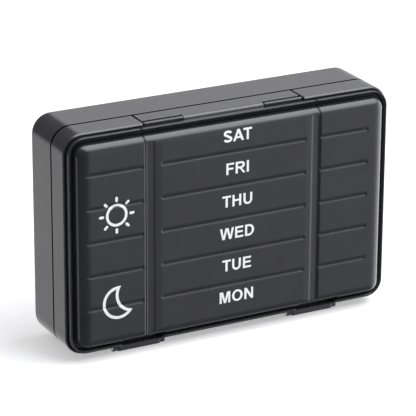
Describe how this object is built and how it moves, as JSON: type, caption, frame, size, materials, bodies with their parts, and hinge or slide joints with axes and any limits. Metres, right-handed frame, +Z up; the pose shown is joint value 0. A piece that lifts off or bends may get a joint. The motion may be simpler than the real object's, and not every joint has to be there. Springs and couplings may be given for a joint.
{
  "type": "pill organizer",
  "caption": "Standing pill organizer box with a pillowed front lid hinged at the top, snap latches below, and trays of day and night cells under flip lids.",
  "frame": {"origin": "centre of the bounding box on the floor under the feet", "axes": "+X to the viewer's right along the width, +Y from the face to the back, +Z up"},
  "size_m": [0.16, 0.0408, 0.105],
  "materials": {
    "case_plastic": "satin black",
    "panel_plastic": "satin black with white printing",
    "tray_plastic": "fine matt dark grey",
    "flap_plastic": "smooth pale grey",
    "pin_steel": "plain drawn wire",
    "foot_rubber": "soft matt black"
  },
  "bodies": {
    "base": {"base_shell": "case_plastic", "hinge_pin": "pin_steel", "foot_left_outer": "foot_rubber", "foot_left_inner": "foot_rubber", "foot_right_inner": "foot_rubber", "foot_right_outer": "foot_rubber", "tray_mon": "tray_plastic", "tray_tue": "tray_plastic", "tray_wed": "tray_plastic", "tray_thu": "tray_plastic", "tray_fri": "tray_plastic", "tray_sat": "tray_plastic"},
    "lid": {"lid_frame": "case_plastic", "lid_panel": "panel_plastic", "latch_pin_left": "pin_steel", "latch_pin_right": "pin_steel"},
    "left_latch": {"latch_left": "case_plastic"},
    "right_latch": {"latch_right": "case_plastic"},
    "day_mon_lid": {"day_flap_mon": "flap_plastic"},
    "night_mon_lid": {"night_flap_mon": "flap_plastic"},
    "day_tue_lid": {"day_flap_tue": "flap_plastic"},
    "night_tue_lid": {"night_flap_tue": "flap_plastic"},
    "day_wed_lid": {"day_flap_wed": "flap_plastic"},
    "night_wed_lid": {"night_flap_wed": "flap_plastic"},
    "day_thu_lid": {"day_flap_thu": "flap_plastic"},
    "night_thu_lid": {"night_flap_thu": "flap_plastic"},
    "day_fri_lid": {"day_flap_fri": "flap_plastic"},
    "night_fri_lid": {"night_flap_fri": "flap_plastic"},
    "day_sat_lid": {"day_flap_sat": "flap_plastic"},
    "night_sat_lid": {"night_flap_sat": "flap_plastic"}
  },
  "joints": [
    {"name": "lid_hinge", "type": "hinge", "parent": "base", "child": "lid", "pos_m": [0, -0.0118, 0.1034], "axis": [-1, 0, 0], "range_deg": [0, 100]},
    {"name": "left_latch_hinge", "type": "hinge", "parent": "lid", "child": "left_latch", "pos_m": [-0.044, -0.0118, 0.00165], "axis": [-1, 0, 0], "range_deg": [0, 70]},
    {"name": "right_latch_hinge", "type": "hinge", "parent": "lid", "child": "right_latch", "pos_m": [0.044, -0.0118, 0.00165], "axis": [-1, 0, 0], "range_deg": [0, 70]},
    {"name": "day_mon_hinge", "type": "hinge", "parent": "base", "child": "day_mon_lid", "pos_m": [-0.0377, 0.0023, 0.009], "axis": [1, 0, 0], "range_deg": [0, 80]},
    {"name": "night_mon_hinge", "type": "hinge", "parent": "base", "child": "night_mon_lid", "pos_m": [0.0377, 0.0023, 0.009], "axis": [1, 0, 0], "range_deg": [0, 80]},
    {"name": "day_tue_hinge", "type": "hinge", "parent": "base", "child": "day_tue_lid", "pos_m": [-0.0377, 0.0023, 0.0245], "axis": [1, 0, 0], "range_deg": [0, 80]},
    {"name": "night_tue_hinge", "type": "hinge", "parent": "base", "child": "night_tue_lid", "pos_m": [0.0377, 0.0023, 0.0245], "axis": [1, 0, 0], "range_deg": [0, 80]},
    {"name": "day_wed_hinge", "type": "hinge", "parent": "base", "child": "day_wed_lid", "pos_m": [-0.0377, 0.0023, 0.04], "axis": [1, 0, 0], "range_deg": [0, 80]},
    {"name": "night_wed_hinge", "type": "hinge", "parent": "base", "child": "night_wed_lid", "pos_m": [0.0377, 0.0023, 0.04], "axis": [1, 0, 0], "range_deg": [0, 80]},
    {"name": "day_thu_hinge", "type": "hinge", "parent": "base", "child": "day_thu_lid", "pos_m": [-0.0377, 0.0023, 0.0555], "axis": [1, 0, 0], "range_deg": [0, 80]},
    {"name": "night_thu_hinge", "type": "hinge", "parent": "base", "child": "night_thu_lid", "pos_m": [0.0377, 0.0023, 0.0555], "axis": [1, 0, 0], "range_deg": [0, 80]},
    {"name": "day_fri_hinge", "type": "hinge", "parent": "base", "child": "day_fri_lid", "pos_m": [-0.0377, 0.0023, 0.071], "axis": [1, 0, 0], "range_deg": [0, 80]},
    {"name": "night_fri_hinge", "type": "hinge", "parent": "base", "child": "night_fri_lid", "pos_m": [0.0377, 0.0023, 0.071], "axis": [1, 0, 0], "range_deg": [0, 80]},
    {"name": "day_sat_hinge", "type": "hinge", "parent": "base", "child": "day_sat_lid", "pos_m": [-0.0377, 0.0023, 0.0865], "axis": [1, 0, 0], "range_deg": [0, 80]},
    {"name": "night_sat_hinge", "type": "hinge", "parent": "base", "child": "night_sat_lid", "pos_m": [0.0377, 0.0023, 0.0865], "axis": [1, 0, 0], "range_deg": [0, 80]}
  ]
}
